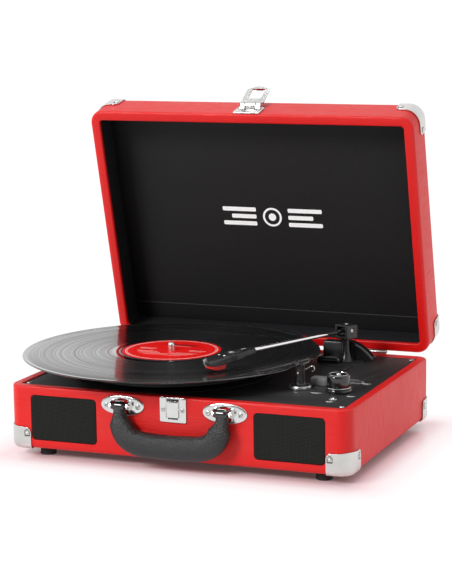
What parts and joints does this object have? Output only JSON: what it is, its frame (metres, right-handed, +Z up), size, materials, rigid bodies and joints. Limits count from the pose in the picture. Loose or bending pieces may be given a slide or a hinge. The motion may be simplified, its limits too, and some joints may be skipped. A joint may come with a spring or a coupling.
{
  "type": "suitcase record player",
  "caption": "Portable record player in a suitcase with a hinged lid: belt-driven platter, tone arm, twin front speakers, carrying handle and latch.",
  "frame": {"origin": "centre of the overall box's bottom face, on the table, with the lid standing open", "axes": "+X to the right across the front, +Y from the front (handle and loudspeakers) to the back (hinges), +Z up"},
  "size_m": [0.3808, 0.3342, 0.3503],
  "materials": {
    "red_leatherette": "leather-grained red covering over board",
    "black_plastic": "satin black",
    "dark_plastic": "dark grey, fine texture",
    "speaker_cloth": "black woven cloth",
    "cone_paper": "dark pressed paper",
    "nickel": "satin nickel plate",
    "chrome": "bright plate",
    "silver": "satin silver",
    "steel_can": "plain zinc-plated steel",
    "brass": "turned",
    "rubber": "matte black",
    "vinyl": "pressed grooves, glossy black",
    "red_plastic": "red",
    "label_paper": "red printed paper",
    "board": "plain fibreboard",
    "pcb": "green circuit board",
    "felt": "black felt",
    "gloss_black": "gloss black"
  },
  "bodies": {
    "case": {"base_case": "red_leatherette", "base_bottom_panel": "board", "deck_plate": "black_plastic", "speaker_grille_left": "speaker_cloth", "speaker_driver_left": "cone_paper", "speaker_grille_right": "speaker_cloth", "speaker_driver_right": "cone_paper", "foot_front_left": "rubber", "foot_rear_left": "rubber", "foot_front_right": "rubber", "foot_rear_right": "rubber", "base_corner_front_left": "nickel", "base_corner_rear_left": "nickel", "base_corner_front_right": "nickel", "base_corner_rear_right": "nickel", "handle_plate_left": "chrome", "handle_plate_right": "chrome", "latch_catch": "chrome", "hinge_leaf_base_left": "nickel", "hinge_leaf_base_right": "nickel", "motor": "steel_can", "drive_belt": "rubber", "platter_bearing": "brass", "tonearm_base": "black_plastic", "arm_rest": "dark_plastic", "volume_pot": "steel_can", "headphone_jack": "chrome", "circuit_board": "pcb", "rca_jack_left": "chrome", "rca_jack_right": "chrome", "dc_inlet": "black_plastic"},
    "lid": {"lid_shell": "red_leatherette", "lid_liner": "black_plastic", "lid_corner_top_left": "nickel", "lid_corner_bottom_left": "nickel", "lid_corner_top_right": "nickel", "lid_corner_bottom_right": "nickel", "latch_plate": "chrome", "hinge_leaf_lid_left": "nickel", "hinge_leaf_lid_right": "nickel"},
    "hasp": {"latch_hasp": "chrome"},
    "handle": {"handle_grip": "dark_plastic"},
    "turntable": {"platter": "dark_plastic", "slipmat": "felt", "spindle": "silver", "record": "vinyl", "record_label": "label_paper"},
    "pulley": {"motor_pulley": "brass"},
    "arm_yoke": {"tonearm_yoke": "dark_plastic"},
    "arm": {"tonearm_bearing_block": "dark_plastic", "tonearm_collar": "dark_plastic", "tonearm_tube": "silver", "tonearm_headshell": "black_plastic", "cartridge": "red_plastic", "stylus": "silver", "finger_lift": "chrome"},
    "rest_clip": {"arm_rest_clip": "chrome"},
    "volume": {"volume_knob": "gloss_black"},
    "selector": {"speed_selector": "dark_plastic"},
    "auto_stop": {"auto_stop_switch": "chrome"}
  },
  "joints": [
    {"name": "lid_hinge", "type": "hinge", "parent": "case", "child": "lid", "pos_m": [0.01213, 0.12785, 0.0729], "axis": [-1, 0, 0], "range_deg": [-31, 19.5]},
    {"name": "hasp_hinge", "type": "hinge", "parent": "lid", "child": "hasp", "pos_m": [0.01213, 0.07784, 0.33337], "axis": [1, 0, 0], "range_deg": [0, 163]},
    {"name": "handle_swing", "type": "hinge", "parent": "case", "child": "handle", "pos_m": [0.01213, -0.14015, 0.061], "axis": [-1, 0, 0], "range_deg": [0, 95]},
    {"name": "platter_spin", "type": "hinge", "parent": "case", "child": "turntable", "pos_m": [-0.03988, -0.01655, 0.08], "axis": [0, 0, 1], "continuous": true},
    {"name": "pulley_spin", "type": "hinge", "parent": "case", "child": "pulley", "pos_m": [0.00613, 0.02145, 0.072], "axis": [0, 0, 1], "continuous": true},
    {"name": "tonearm_swing", "type": "hinge", "parent": "case", "child": "arm_yoke", "pos_m": [0.11513, 0.07595, 0.1045], "axis": [0, 0, 1], "range_deg": [-20, 21.7]},
    {"name": "tonearm_lift", "type": "hinge", "parent": "arm_yoke", "child": "arm", "pos_m": [0.11513, 0.07595, 0.1045], "axis": [-0.9191, 0.3939, 0], "range_deg": [0, 12]},
    {"name": "rest_clip_turn", "type": "hinge", "parent": "case", "child": "rest_clip", "pos_m": [0.11173, -0.05355, 0.087], "axis": [0.0262, 0.9997, 0], "range_deg": [-90, 40]},
    {"name": "volume_turn", "type": "hinge", "parent": "case", "child": "volume", "pos_m": [0.15163, -0.05595, 0.08], "axis": [0, 0, 1], "range_deg": [-150, 150]},
    {"name": "speed_slide", "type": "slide", "parent": "case", "child": "selector", "axis": [0, 1, 0], "range_m": [-0.004, 0.004]},
    {"name": "auto_stop_slide", "type": "slide", "parent": "case", "child": "auto_stop", "axis": [1, 0, 0], "range_m": [-0.003, 0.003]}
  ],
  "couplings": [
    {"joint": "pulley_spin", "follows": "platter_spin", "ratio": 12.26}
  ]
}
